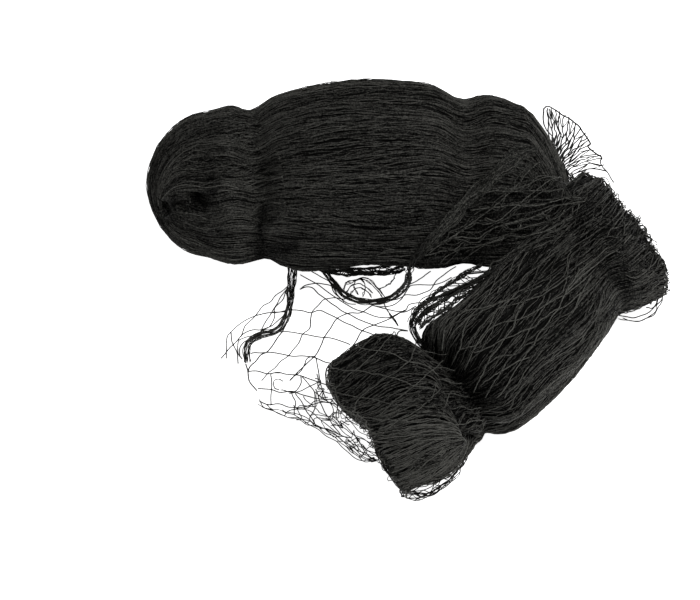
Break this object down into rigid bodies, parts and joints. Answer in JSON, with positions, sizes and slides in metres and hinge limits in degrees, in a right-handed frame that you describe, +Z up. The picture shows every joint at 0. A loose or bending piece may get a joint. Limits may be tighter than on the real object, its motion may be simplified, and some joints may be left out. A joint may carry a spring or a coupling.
{
  "type": "pond netting",
  "caption": "Fine black knotted net for covering a pond, lying in wound hanks drawn in at their necks, with open mesh, gathered strands and a flap shaken loose between them.",
  "frame": {"origin": "middle of the netting's outline, on the floor that it lies on", "axes": "+X to the viewer's right along the upper hank, +Y away from the viewer, +Z up"},
  "size_m": [0.4323, 0.373, 0.1218],
  "materials": {
    "hank_twine": "matt black polyethylene twine, packed close",
    "open_twine": "matt black polyethylene twine, knotted",
    "gathered_twine": "matt black polyethylene twine, gathered",
    "tie_twine": "matt black twine"
  },
  "bodies": {
    "root": {"hank_upper": "hank_twine", "hank_lower": "hank_twine", "net_spread": "open_twine", "net_front": "open_twine", "net_swath": "open_twine", "net_flap": "open_twine", "gathered_tail": "gathered_twine", "gathered_loop": "gathered_twine", "gathered_edge": "gathered_twine", "tie_upper": "tie_twine"}
  },
  "joints": []
}
